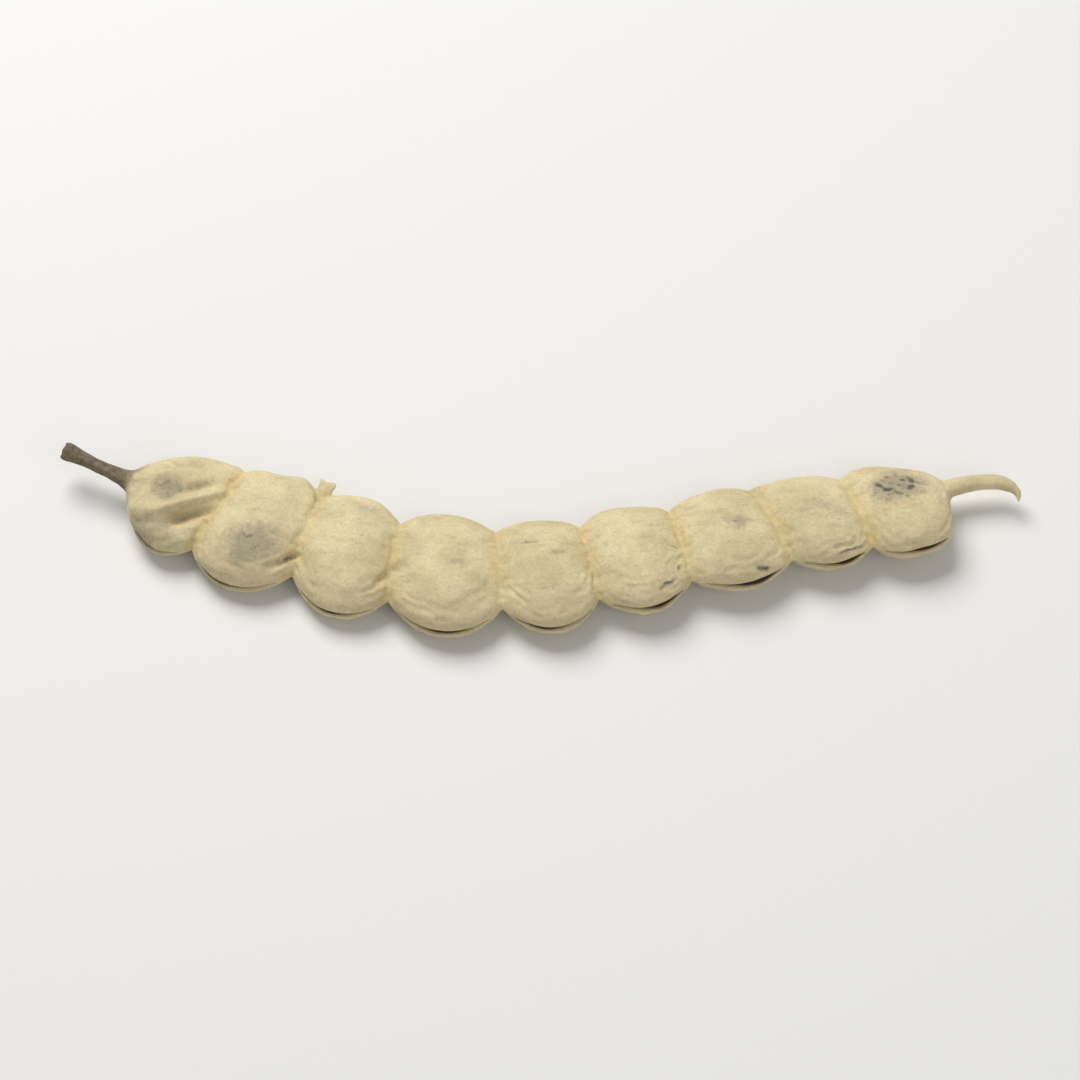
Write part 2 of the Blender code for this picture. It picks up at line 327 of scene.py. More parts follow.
class PodLooks(bpy.types.PropertyGroup):
    """The colours of the pod."""

    cream: colour_setting("Cream", "Felt on the chambers", (0.72, 0.615, 0.375))
    # Shade is also the colour of the painted shade over the front flank, with some dust.
    shade: colour_setting("Shade", "Darker felt", (0.59, 0.49, 0.285))
    # Tan is also painted brown shade in a hollow and two creases.
    tan: colour_setting("Tan", "Felt rubbed thin", (0.62, 0.455, 0.19))
    # Grey is also painted shade in a hollow and over the first chamber's lower flank.
    grey: colour_setting("Grey", "Stain over a seed", (0.30, 0.265, 0.185))
    # Scab is also painted shade in one crease.
    scab: colour_setting("Scab", "Black marks where the felt has split", (0.085, 0.082, 0.068))
    # painted shade: the slits are painted near black for the shade inside them, over a brown inner wall
    inside: colour_setting("Inside", "Wall seen in the slits", (0.075, 0.045, 0.022))
    scar: colour_setting("Scar", "Broken end of the stalk", (0.20, 0.085, 0.034))
    bark: colour_setting("Bark", "Skin of the stalk", (0.19, 0.15, 0.10))


class StageSettings(bpy.types.PropertyGroup):
    """The floor, the lights and the camera."""

    floor_size: length_setting("Floor size", "Side of the floor", 3.0)
    floor_colour: colour_setting("Floor", "Colour of the floor", (0.80, 0.795, 0.78))
    camera_distance: length_setting("Camera distance", "From the pod's middle", 0.46)
    camera_height: FloatProperty(
        name="Camera angle",
        description="How high the camera stands over the floor, seen from the pod",
        default=math.radians(56.0),
        subtype="ANGLE",
    )
    lens: FloatProperty(
        name="Lens", description="Focal length in millimetres", default=116.0, min=1.0
    )
    key_power: FloatProperty(
        name="Key light", description="Its power in watts", default=5.7, min=0.0
    )
    fill_power: FloatProperty(
        name="Fill light", description="Its power in watts", default=1.7, min=0.0
    )
    sky: FloatProperty(
        name="Sky", description="Strength of the light all round", default=0.27, min=0.0
    )


# ------------------------------------------------------------------ small helpers


def mix(a, b, t):
    return a + (b - a) * t


def smooth_step(low, high, value):
    t = np.clip((value - low) / (high - low), 0.0, 1.0)
    return t * t * (3 - 2 * t)


def bump_of(value):
    """1 at 0, falling smoothly to about 0 at 2."""
    return np.exp(-(value**2))


def deselect_all():
    if bpy.context.mode != "OBJECT":
        bpy.ops.object.mode_set(mode="OBJECT")
    bpy.ops.object.select_all(action="DESELECT")


def select_only(obj):
    deselect_all()
    obj.select_set(True)
    bpy.context.view_layer.objects.active = obj


def start_editing(obj):
    select_only(obj)
    bpy.ops.object.mode_set(mode="EDIT")


def stop_editing():
    bpy.ops.object.mode_set(mode="OBJECT")


def pick(obj, kind, wanted):
    """In edit mode, selects just the vertices, edges or faces of obj for which wanted() is true."""
    bpy.ops.mesh.select_mode(type=kind)
    bpy.ops.mesh.select_all(action="DESELECT")
    bm = bmesh.from_edit_mesh(obj.data)
    items = {"VERT": bm.verts, "EDGE": bm.edges, "FACE": bm.faces}[kind]
    found = 0
    for item in items:
        if wanted(item):
            item.select_set(True)
            found += 1
    bm.select_flush_mode()
    bmesh.update_edit_mesh(obj.data)
    if not found:
        raise RuntimeError(f"nothing to select on {obj.name}")


def mark_selected(obj, name):
    """In edit mode, sets the named mask to 1 on the selected vertices of obj."""
    bm = bmesh.from_edit_mesh(obj.data)
    layer = bm.verts.layers.float.get(name) or bm.verts.layers.float.new(name)
    for vertex in bm.verts:
        if vertex.select:
            vertex[layer] = 1.0
    bmesh.update_edit_mesh(obj.data)


def apply_modifier(obj, name):
    select_only(obj)
    bpy.ops.object.modifier_apply(modifier=name)


def apply_transform():
    bpy.ops.object.transform_apply(location=True, rotation=True, scale=True)


def extrude(step):
    """In edit mode, extrudes the selected faces by a step in metres."""
    bpy.ops.mesh.extrude_region_move(TRANSFORM_OT_translate={"value": step})


def edge_middle(edge):
    return (edge.verts[0].co + edge.verts[1].co) / 2


# ------------------------------------------------------------------ the pod's rings

Ring = namedtuple("Ring", "along across above half_width half_thickness lean")
RING_SIDES = 20
NEAR = 0.01  # rings closer together than this are in the same place
SEAM_PRESS = 0.12  # how far the two vertices beside each seam are pressed together


def arc_height(distance, half_span, rise):
    """The height of a circular arc over its chord, at a distance from its middle."""
    radius = (half_span**2 + rise**2) / (2 * rise)
    return math.sqrt(max(radius**2 - distance**2, 0.0)) - (radius - rise)


def chamber_starts(stalk_length):
    """How far along the pod each chamber starts, and where the last one ends."""
    return stalk_length + np.cumsum([0.0] + [chamber.length for chamber in CHAMBERS])


def chamber_rings(start, chamber, before, after):
    half_span = chamber.length / 2
    width_rise = (chamber.width - (before.width + after.width) / 2) / 2
    thickness_rise = (chamber.thickness - (before.thickness + after.thickness) / 2) / 2
    rings = []
    for u in RINGS_IN_CHAMBER:
        t = (u + 1) / 2
        distance = u * half_span
        rings.append(
            Ring(
                start + half_span + distance,
                mix(before.offset, after.offset, t) + chamber.offset * (1 - u * u),
                0.0,
                mix(before.width, after.width, t) / 2 + arc_height(distance, half_span, width_rise),
                mix(before.thickness, after.thickness, t) / 2
                + arc_height(distance, half_span, thickness_rise),
                mix(before.lean, after.lean, t),
            )
        )
    return rings


def pod_rings(stalk_length):
    """Every ring of the pod, from the scar of the stalk to the tip of the tail."""
    rings = [Ring(share * stalk_length, 0.0, 0.0, r, r, 0.0) for share, r in STALK_RINGS]
    starts = chamber_starts(stalk_length)
    for number, chamber in enumerate(CHAMBERS):
        rings += chamber_rings(starts[number], chamber, PINCHES[number], PINCHES[number + 1])
    half_span = CHAMBERS[-1].length / 2
    middle = starts[-1] - half_span
    rings = [ring for ring in rings if ring.along < middle - NEAR]
    for share, across, half_width, half_thickness in BLUNT_END:
        lean = PINCHES[-2].lean * (1 - share) / 2
        rings.append(Ring(middle + share * half_span, across, 0.0, half_width, half_thickness, lean))
    end = PINCHES[-1]
    rings.append(Ring(starts[-1], TAIL_OFFSET, 0.0, end.width / 2, end.thickness / 2, 0.0))
    rings += [Ring(starts[-1] + along, *rest) for along, *rest in TAIL_RINGS]
    return rings


def extrude_rings(rings):
    """A closed tube: a disc at the stalk's scar, extruded, resized and turned from ring to ring."""
    first = rings[0]
    deselect_all()
    bpy.ops.mesh.primitive_circle_add(
        vertices=RING_SIDES,
        radius=first.half_width * MM,
        fill_type="NGON",
        location=(first.along * MM, 0.0, 0.0),
        rotation=(0.0, math.radians(90), 0.0),
    )
    apply_transform()
    pod = bpy.context.object
    pod.name = "babul_pod"
    start_editing(pod)
    bpy.ops.mesh.select_all(action="SELECT")
    bpy.ops.transform.rotate(
        value=math.pi / RING_SIDES, orient_axis="X", center_override=(first.along * MM, 0.0, 0.0)
    )
    first_row = first.half_width * math.sin(math.tau / RING_SIDES) * MM
    pick(pod, "VERT", lambda v: abs(v.co.z) < first_row)
    bpy.ops.transform.resize(value=(1.0, 1.0, SEAM_PRESS), center_override=(0.0, 0.0, 0.0))
    bpy.ops.mesh.select_mode(type="FACE")
    bpy.ops.mesh.select_all(action="SELECT")
    for before, after in zip(rings, rings[1:]):
        step = Vector(after[:3]) - Vector(before[:3])
        centre = Vector(after[:3]) * MM
        wider = after.half_width / before.half_width
        thicker = after.half_thickness / before.half_thickness
        extrude(step * MM)
        bpy.ops.transform.resize(value=(wider, wider, thicker), center_override=centre)
        if after.lean != before.lean:
            turn = math.radians(after.lean - before.lean)
            bpy.ops.transform.rotate(value=-turn, orient_axis="Z", center_override=centre)
    stop_editing()
    return pod


# ------------------------------------------------------------------ seams, slits and ends

CUSP_CREASE = 0.55  # how sharply the outline turns in at a pinch
CUSP_REACH = 0.62  # from this share of a pinch's half width out to the seam, the pinch is creased
ON_A_PINCH = 0.2  # an edge closer than this to a pinch is part of it
ROUND_THE_POD = 0.6  # an edge that runs less than this along the pod goes round it


def crease_cusps(pod, starts):
    """Sharpens each pinch where it meets the two seams, and leaves it soft over the faces."""
    start_editing(pod)
    inner = starts[1:-1] * MM
    half_widths = [pinch.width / 2 * MM for pinch in PINCHES[1:-1]]
    leans = [math.tan(math.radians(pinch.lean)) for pinch in PINCHES[1:-1]]

    def at_a_cusp(edge):
        middle = edge_middle(edge)
        away = np.abs(middle.x + middle.y * np.array(leans) - inner)
        number = int(np.argmin(away))
        return (
            away[number] < ON_A_PINCH * MM
            and abs((edge.verts[0].co - edge.verts[1].co).x) < ROUND_THE_POD * MM
            and abs(middle.y) > CUSP_REACH * half_widths[number]
        )

    pick(pod, "EDGE", at_a_cusp)
    bpy.ops.transform.edge_crease(value=CUSP_CREASE)
    stop_editing()


SEAM_HEIGHT = 0.1  # a face whose middle is nearer than this to the middle plane may be on a seam
SEAM_NEAREST = 2.0  # if it is also further than this from the centre line


def on_seam(face, side):
    """Whether a face lies between the two valves at the given side of the pod."""
    place = face.calc_center_median()
    return (
        abs(place.z) < SEAM_HEIGHT * MM
        and abs(face.normal.y) > abs(face.normal.z)
        and place.y * side > SEAM_NEAREST * MM
    )


SLIT_BOTTOM = (0.90, 1.0, 0.35)  # how the bottom of a slit is resized


def open_slits(pod, starts, sizes):
    """Parts the two valves at the front seam of every chamber, by a face pushed in between them."""
    start_editing(pod)
    for number, chamber in enumerate(CHAMBERS):
        middle = (starts[number] + chamber.length / 2) * MM
        towards_tail = chamber.length / 2 * SLIT_SHARE * MM
        towards_stalk = towards_tail if number else chamber.length / 2 * FIRST_SLIT_SHARE * MM
        lean = (PINCHES[number].lean + PINCHES[number + 1].lean) / 2
        slant = -math.tan(math.radians(lean))

        def in_slit(face):
            place = face.calc_center_median()
            along = place.x - middle - slant * place.y
            return on_seam(face, FRONT) and -towards_stalk < along < towards_tail

        pick(pod, "FACE", in_slit)
        extrude((0.0, sizes.slit_depth, 0.0))
        bpy.ops.transform.resize(value=SLIT_BOTTOM)
        mark_selected(pod, "slit")
    stop_editing()


SCAR_RIM = 0.28
SCAR_DEPTH = 0.35
SCAR_FLOOR = 0.8  # the size of the scar's floor, as a share of its mouth's
END_ON = -0.9  # the scar's face turns this far to the stalk's end; the tip of the tail curls back less


def sink_scar(pod):
    """The stalk broke off here: the end is hollowed inside a thin rim."""
    start_editing(pod)
    pick(pod, "FACE", lambda face: len(face.verts) == RING_SIDES and face.normal.x < END_ON)
    bpy.ops.mesh.inset(thickness=SCAR_RIM * MM)
    extrude((SCAR_DEPTH * MM, 0.0, 0.0))
    bpy.ops.transform.resize(value=(1.0, SCAR_FLOOR, SCAR_FLOOR))
    stop_editing()


# How the torn scrap is drawn out of the back margin: each step, and how it is resized after it.
FLAP_STEPS = (
    ((0.1, 0.7, 0.15), (0.85, 1.0, 4.0)),
    ((0.2, 1.0, 0.15), (1.25, 0.8, 1.0)),
    ((-0.2, 0.7, 0.1), (0.85, 0.4, 0.7)),
)
FLAP_AT = 0.4  # the middle of its foot, past the pinch
FLAP_REACH = 2.0  # half the length of its foot


def raise_torn_flap(pod, starts):
    """A scrap of the back margin still stands in the pinch between the second and third chambers."""
    start_editing(pod)
    pinch = starts[2] * MM

    def in_foot(face):
        along = face.calc_center_median().x - pinch - FLAP_AT * MM
        return on_seam(face, BACK) and abs(along) < FLAP_REACH * MM

    pick(pod, "FACE", in_foot)
    for step, size in FLAP_STEPS:
        extrude(Vector(step) * MM)
        bpy.ops.transform.resize(value=size)
        mark_selected(pod, "flap")
    stop_editing()


def subdivide(pod, levels):
    smooth = pod.modifiers.new("smooth", "SUBSURF")
    smooth.levels = levels
    smooth.render_levels = levels
    apply_modifier(pod, "smooth")


# ------------------------------------------------------------------ sculpting


# How much the wall is held back from moving: on the torn scrap and within a band about the seams.
FLAP_HOLD = 0.85
SEAM_HOLD = 0.65
SEAM_BAND = 1.0
SLIT_EDGE = 0.12  # the slit mask at which a wall is held still
CUSP_LENGTH = 1.1  # how far a cusp reaches along the pod and up and down, where nothing moves
CUSP_HEIGHT = 0.45
OUTER_PART = (3.2, 4.6)  # the seams are past these distances from the centre line
TURN_TO_FACE = (-0.15, 0.35)  # how far a normal turns up where a face starts, and where it is full

# Smooth noise: the size of its lumps, how many finer layers it has, and its seed.
Grain = namedtuple("Grain", "size octaves seed")
SEED_STEP = (17.3, 5.1, 9.7)  # each seed looks at the noise this much further on


class Sculpt:
    """The pod's vertices as arrays, in millimetres, each with its place in its chamber."""

    def __init__(self, pod, starts):
        self.mesh = pod.data
        self.starts = starts
        count = len(self.mesh.vertices)
        self.points = np.empty(count * 3)
        self.mesh.vertices.foreach_get("co", self.points)
        self.points = self.points.reshape(-1, 3) / MM
        self.find_normals()
        self.find_places()
        # The walls of a slit and a thin scrap have no room for relief, so move() hardly moves them.
        self.slit = self.mask("slit")
        self.flap = self.mask("flap")
        self.yielding = (1 - smooth_step(0.0, SLIT_EDGE, self.slit)) * (1 - FLAP_HOLD * self.flap)
        self.yielding *= (1 - self.in_a_cusp()) * (1 - SEAM_HOLD * self.near_seam(SEAM_BAND))

    def in_a_cusp(self):
        """1 where the outline turns in sharply on a seam, falling to 0 about it."""
        _, from_pinch = self.nearest_pinch()
        return bump_of((from_pinch / CUSP_LENGTH) ** 2) * self.near_seam(CUSP_HEIGHT)

    def near_seam(self, reach):
        """1 on the two seams, falling to 0 over the given height above and below them."""
        outer = smooth_step(*OUTER_PART, np.abs(self.points[:, 1]))
        return bump_of(self.points[:, 2] / reach) * outer

    def nearest_pinch(self):
        """The nearest pinch between two chambers, from 0, and how far past it each vertex is."""
        inner = self.starts[1:-1]
        number = np.argmin(np.abs(self.station[:, None] - inner[None, :]), axis=1)
        return number, self.station - inner[number]

    def mask(self, name):
        values = np.empty(len(self.mesh.vertices), dtype=np.float32)
        self.mesh.attributes[name].data.foreach_get("value", values)
        return values

    def find_normals(self):
        normals = np.empty(len(self.mesh.vertices) * 3)
        self.mesh.vertices.foreach_get("normal", normals)
        self.normals = normals.reshape(-1, 3)

    def find_places(self):
        """Where each vertex is: its chamber, and how far along and across from the chamber's middle."""
        stations = self.starts
        leans = np.radians([pinch.lean for pinch in PINCHES])
        self.station = self.points[:, 0].copy()
        for _ in range(3):
            lean = np.interp(self.station, stations, leans)
            self.station = self.points[:, 0] + self.points[:, 1] * np.tan(lean)
        self.chamber = np.clip(
            np.searchsorted(stations, self.station, side="right"), 1, len(CHAMBERS)
        )
        middles = (stations[:-1] + stations[1:]) / 2
        halves = (stations[1:] - stations[:-1]) / 2
        offsets = np.array([chamber.offset for chamber in CHAMBERS])
        number = self.chamber - 1
        self.along = self.station - middles[number]
        self.share = self.along / halves[number]
        self.across = self.points[:, 1] - offsets[number] * np.clip(1 - self.share**2, 0, 1)
        self.off_end = np.maximum(stations[0] - self.station, self.station - stations[-1])

    def move(self, distance):
        """Moves every vertex along its normal, as far as the wall there has room."""
        self.points += self.normals * (distance * self.yielding)[:, None]

    def write(self):
        self.mesh.vertices.foreach_set("co", (self.points * MM).ravel())
        self.mesh.update()
        self.find_normals()

    def local(self, mark):
        """Distances from a mark's middle, along and across its own direction."""
        angle = math.radians(mark.angle)
        middles = (self.starts[:-1] + self.starts[1:]) / 2
        along = self.station - middles[mark.chamber - 1] - mark.along
        across = self.across - mark.across
        return (
            along * math.cos(angle) + across * math.sin(angle),
            across * math.cos(angle) - along * math.sin(angle),
        )

    def facing(self, face):
        """1 on the given face, 0 on the other, and between them across the seams."""
        return smooth_step(*TURN_TO_FACE, self.normals[:, 2] * face)

    def fractal(self, grain, stretch=(1, 1, 1)):
        """Smooth noise from about -1 to 1 at every vertex, drawn out where stretch is below 1."""
        shift = Vector([step * grain.seed for step in SEED_STEP])
        points = self.points * stretch
        values = [
            noise.fractal(Vector(point) / grain.size + shift, 1.0, 2.0, grain.octaves)
            for point in points
        ]
        return np.array(values)


BOSS_RADIUS = 4.3
BOSS_ACROSS = -0.4  # how far the boss sits off the chamber's middle
BOSS_WIDTH = 0.85  # it is a little longer across the pod than along it
TROUGH_RADIUS = 6.0
TROUGH_WIDTH = 1.1
TROUGH_DEPTH = 0.55  # as a share of the boss's height


def swell_chambers(sculpt):
    """The seed swells each chamber's upper face into a round boss, with a shallow trough about it."""
    swell = np.array([chamber.swell for chamber in CHAMBERS])[sculpt.chamber - 1]
    far = np.hypot(sculpt.along, (sculpt.across - BOSS_ACROSS) * BOSS_WIDTH)
    trough = bump_of((far - TROUGH_RADIUS) / TROUGH_WIDTH)
    boss = bump_of(far / BOSS_RADIUS) - TROUGH_DEPTH * trough
    sculpt.move(swell * boss * sculpt.facing(UPPER) * (sculpt.off_end < 0))


def fold_faces(sculpt):
    for fold in FOLDS:
        along, across = sculpt.local(fold)
        shape = bump_of(across / fold.width) * bump_of((along / (fold.length / 2)) ** 2)
        sculpt.move(fold.rise * shape * sculpt.facing(fold.face))


WRINKLE_HEIGHT = 0.090
WRINKLE_SPACING = 1.15
WRINKLE_WANDER, WRINKLE_GRAIN = 0.9, Grain(3.2, 3, 2)
WRINKLE_PATCHES = Grain(2.6, 2, 5)
WRINKLES_FROM, WRINKLES_FULL = 2.8, 5.6  # distances from the chamber's middle
WRINKLE_OVAL = 0.92  # the rings are a little longer across the pod than along it
TURN_TO_FRONT = (0.2, -0.9)  # the sine of the bearing where the front starts, and where it is full
BACK_SHARE = 0.35  # how strong they are at the back, of what they are at the front
BARE_TO_WRINKLED = (-0.25, 0.45)  # the noise at which a patch has no wrinkles, and has them all


def wrinkle_rings(sculpt):
    """Fine wrinkles round each seed, strongest on the flank by the front seam."""
    far = np.hypot(sculpt.along, sculpt.across * WRINKLE_OVAL)
    wander = WRINKLE_WANDER * sculpt.fractal(WRINKLE_GRAIN)
    wave = np.cos((far + wander) * math.tau / WRINKLE_SPACING)
    bearing = np.arctan2(sculpt.across, sculpt.along)
    towards_front = smooth_step(*TURN_TO_FRONT, np.sin(bearing))
    strength = smooth_step(WRINKLES_FROM, WRINKLES_FULL, far) * mix(BACK_SHARE, 1.0, towards_front)
    patchy = smooth_step(*BARE_TO_WRINKLED, sculpt.fractal(WRINKLE_PATCHES))
    sculpt.move(WRINKLE_HEIGHT * wave * strength * patchy * (sculpt.off_end < 0))


VALLEY_WIDTH = 0.48
VALLEY_DEPTH, VALLEY_UNEVENNESS = 0.21, 0.12
VALLEY_WANDER, VALLEY_GRAIN = 0.35, Grain(2.4, 3, 3)
GATHER_SPACING = 2.1  # the short folds beside a pinch: how far apart, long and high they are
GATHER_LENGTH = 1.9
GATHER_HEIGHT = 0.07
GATHER_WANDER = 1.4
GATHER_TURN = 1.7  # each pinch's folds are this much out of step with the last one's


def crease_pinches(sculpt):
    """A soft valley over each pinch, with short folds that run into it from both sides."""
    number, from_pinch = sculpt.nearest_pinch()
    wander = sculpt.fractal(VALLEY_GRAIN)
    valley = bump_of((from_pinch + VALLEY_WANDER * wander) / VALLEY_WIDTH)
    valley *= VALLEY_DEPTH + VALLEY_UNEVENNESS * wander
    across = sculpt.points[:, 1] + GATHER_WANDER * wander
    folds = np.cos(across * math.tau / GATHER_SPACING + number * GATHER_TURN)
    folds *= GATHER_HEIGHT * bump_of(from_pinch / GATHER_LENGTH)
    sculpt.move((folds - valley) * (sculpt.off_end < 0))


def shape_shoulders(sculpt):
    """No outline is a true arc: some chambers have a shoulder, or fall away early."""
    short_of_pinch = smooth_step(1.0, 0.8, np.abs(sculpt.share))
    for shoulder in SHOULDERS:
        on_chamber = sculpt.chamber == shoulder.chamber
        side = smooth_step(1.0, 6.0, sculpt.points[:, 1] * shoulder.side)
        rise = bump_of((sculpt.share - shoulder.at) / shoulder.reach) * short_of_pinch
        sculpt.points[:, 1] += shoulder.side * shoulder.rise * rise * side * on_chamber


LIP_HEIGHT = 0.75  # how far above and below the seam the two margins' lips are, and how thick
LIP_THICKNESS = 0.62
LIP_SHARE = 1.05  # the lips run out this share of the half length from a chamber's middle
UPPER_LIP = 0.5  # how far the upper margin draws back, as a share of the lower one's lip
EDGE_ON = 1.3  # how soon a wall that turns to the front counts as the margin's edge


def draw_out_lips(sculpt, lip, front):
    """The lower valve stands out as a thin lip, and the upper one draws back from it."""
    height = sculpt.points[:, 2]
    lower_edge = bump_of((height + LIP_HEIGHT) / LIP_THICKNESS)
    upper_edge = bump_of((height - LIP_HEIGHT) / LIP_THICKNESS)
    edge_on = np.clip(-sculpt.normals[:, 1] * EDGE_ON, 0, 1)
    over_slit = np.clip(1 - (sculpt.share / LIP_SHARE) ** 2, 0, 1)
    out = lip * over_slit * edge_on * front
    sculpt.points[:, 1] += out * (UPPER_LIP * upper_edge - lower_edge)


GAPE_HEIGHT = 0.8  # how far above and below the seam its gaping is felt
GAPE_REACH = 0.42  # how far along it is widest, as a share of a chamber's half length
GAPE_SHARE, GAPE_UNEVENNESS, GAPE_GRAIN = 0.85, 0.6, Grain(3.0, 2, 8)
GAPE_FROM = 2.5  # only walls further than this from the centre line part
# the slits carry painted shade over the brown inner wall, less of it where they are closed
CLOSED_SLIT_SHADE = 0.35  # how dark a slit is where it is closed, of what it is where it gapes
MARGIN = 0.06  # the height over which the two sides of a slit come apart


def shape_seams(sculpt, sizes):
    """Draws out the margins of the front seam, parts them where a chamber gapes, and sets how dark the
    painted shade in each slit is: darkest where it gapes.
    """
    front = (sculpt.points[:, 1] < 0) & (sculpt.off_end < 0)
    draw_out_lips(sculpt, sizes.lip / MM, front)
    height = sculpt.points[:, 2]
    number = sculpt.chamber - 1
    gap = np.array([chamber.gape for chamber in CHAMBERS])[number] * sizes.gape
    gape_at = np.array([chamber.gape_at for chamber in CHAMBERS])[number]
    opened = bump_of((sculpt.share - gape_at) / GAPE_REACH) * bump_of(height / GAPE_HEIGHT) * front
    # painted shade in the slits, darkest where they gape
    slit_shade = sculpt.slit * mix(CLOSED_SLIT_SHADE, 1.0, opened)
    sculpt.mesh.attributes["slit"].data.foreach_set("value", slit_shade.astype(np.float32))
    uneven = GAPE_SHARE + GAPE_UNEVENNESS * sculpt.fractal(GAPE_GRAIN, stretch=(1, 0, 0))
    apart = np.clip(height / MARGIN, -1, 1) * gap / 2
    outside = np.abs(sculpt.points[:, 1]) > GAPE_FROM
    sculpt.points[:, 2] += apart * opened * uneven * outside


BROAD_HEIGHT, BROAD_GRAIN = 0.20, Grain(7.0, 2, 11)
LUMP_HEIGHT, LUMP_GRAIN = 0.080, Grain(2.0, 3, 12)
NAP_HEIGHT, NAP_GRAIN = 0.022, Grain(0.62, 2, 13)
PITTED_FLANK = 0.9  # how much rougher the flank by the front seam is
PITTED_ACROSS = (-4.5, -7.5)  # where that flank starts, and where it is full
LUMPS_OFF_POD = 0.5  # how strong the lumps are on the stalk and the tail


def roughen(sculpt):
    """Broad unevenness, small lumps and the nap of the felt."""
    on_pod = smooth_step(1.5, -1.0, sculpt.off_end)
    pitted = 1 + PITTED_FLANK * smooth_step(*PITTED_ACROSS, sculpt.across) * on_pod
    broad = BROAD_HEIGHT * sculpt.fractal(BROAD_GRAIN) * on_pod
    lumps = LUMP_HEIGHT * sculpt.fractal(LUMP_GRAIN) * pitted * mix(LUMPS_OFF_POD, 1.0, on_pod)
    nap = NAP_HEIGHT * sculpt.fractal(NAP_GRAIN) * pitted
    sculpt.move(broad + lumps + nap)


RIDGE_HEIGHT = 0.07
BARK_HEIGHT, BARK_GRAIN = 0.05, Grain(0.5, 3, 14)
ALONG_THE_STALK = (0.25, 1, 1)  # draws the bark's grain out along the stalk


def flute_stalk(sculpt):
    """Ridges wind along the stalk and run out on to the first chamber."""
    before = sculpt.starts[0] - sculpt.station
    on_stalk = smooth_step(-3.0, 1.5, before)
    angle = np.arctan2(sculpt.points[:, 2], sculpt.points[:, 1])
    ridges = np.cos(5 * angle + 0.25 * before) + 0.5 * np.cos(3 * angle - 0.4 * before + 1.0)
    grain = sculpt.fractal(BARK_GRAIN, ALONG_THE_STALK)
    sculpt.move(on_stalk * (RIDGE_HEIGHT * ridges + BARK_HEIGHT * grain))


TAIL_FLATNESS = 0.05
KNUCKLE_HEIGHT, KNUCKLE_GRAIN = 0.04, Grain(0.9, 2, 15)
ROUND_THE_TAIL = (1, 0.4, 0.4)  # draws the knuckles' noise out round the tail


def shape_tail(sculpt):
    """The tail is a little flat, and uneven along its length."""
    past = sculpt.station - sculpt.starts[-1]
    on_tail = smooth_step(0.3, 2.0, past)
    angle = np.arctan2(sculpt.points[:, 2], sculpt.points[:, 1] - TAIL_OFFSET)
    knuckles = sculpt.fractal(KNUCKLE_GRAIN, ROUND_THE_TAIL)
    sculpt.move(on_tail * (TAIL_FLATNESS * np.cos(2 * angle) + KNUCKLE_HEIGHT * knuckles))


def write_mask(mesh, name, values):
    layer = mesh.attributes.new(name, "FLOAT", "POINT")
    layer.data.foreach_set("value", np.clip(values, 0, 1).astype(np.float32))


PATCH_EDGE = 1.25  # a patch fades out at this share of its half length and half width
SCAB_WANDER, SCAB_GRAIN = 0.22, Grain(0.9, 2, 21)
RUBBED_REACH = 1.35  # how far from a pinch the felt is rubbed
RUBBED_SHARE, RUBBED_UNEVENNESS, RUBBED_GRAIN = 0.72, 0.55, Grain(4.0, 2, 22)
RUBBED_ACROSS = (8.6, 6.4)  # how far from the centre line nothing is rubbed, and where all is


def spread_of(marks, sculpt):
    """Soft round patches, the strongest one winning where they overlap."""
    total = np.zeros(len(sculpt.points))
    for mark in marks:
        along, across = sculpt.local(mark)
        far = np.hypot(along / mark.half_length, across / mark.half_width)
        spread = np.clip(PATCH_EDGE - far, 0, 1) * mark.strength * sculpt.facing(mark.face)
        total = np.maximum(total, spread)
    return total


def strokes_of(marks, sculpt):
    """Short wandering strokes, the strongest one winning where they overlap."""
    total = np.zeros(len(sculpt.points))
    wander = SCAB_WANDER * sculpt.fractal(SCAB_GRAIN)
    for mark in marks:
        along, across = sculpt.local(mark)
        stroke = bump_of((across + wander) / mark.width) * bump_of((along / (mark.length / 2)) ** 2)
        total = np.maximum(total, stroke * mark.strength * sculpt.facing(mark.face))
    return total


def rubbed_pinches(sculpt):
    """The felt is rubbed in patches along each pinch, but not out at the seams."""
    _, from_pinch = sculpt.nearest_pinch()
    patchy = RUBBED_SHARE + RUBBED_UNEVENNESS * sculpt.fractal(RUBBED_GRAIN)
    inside_margin = smooth_step(*RUBBED_ACROSS, np.abs(sculpt.points[:, 1]))
    return bump_of(from_pinch / RUBBED_REACH) * patchy * inside_margin


# Where each of these masks starts to fade in, and where it is full.
SCAR_ALONG, SCAR_OUT = (0.55, 0.25), (1.25, 0.95)
BARK_BEFORE = (-2.5, 2.5)
TAIL_PAST = (0.0, 2.0)
# painted shade, with some dust: the front flank is darker where the light falls off towards the front
# seam
FLANK_SHADE_AND_DUST_ACROSS = (-3.0, -8.0)


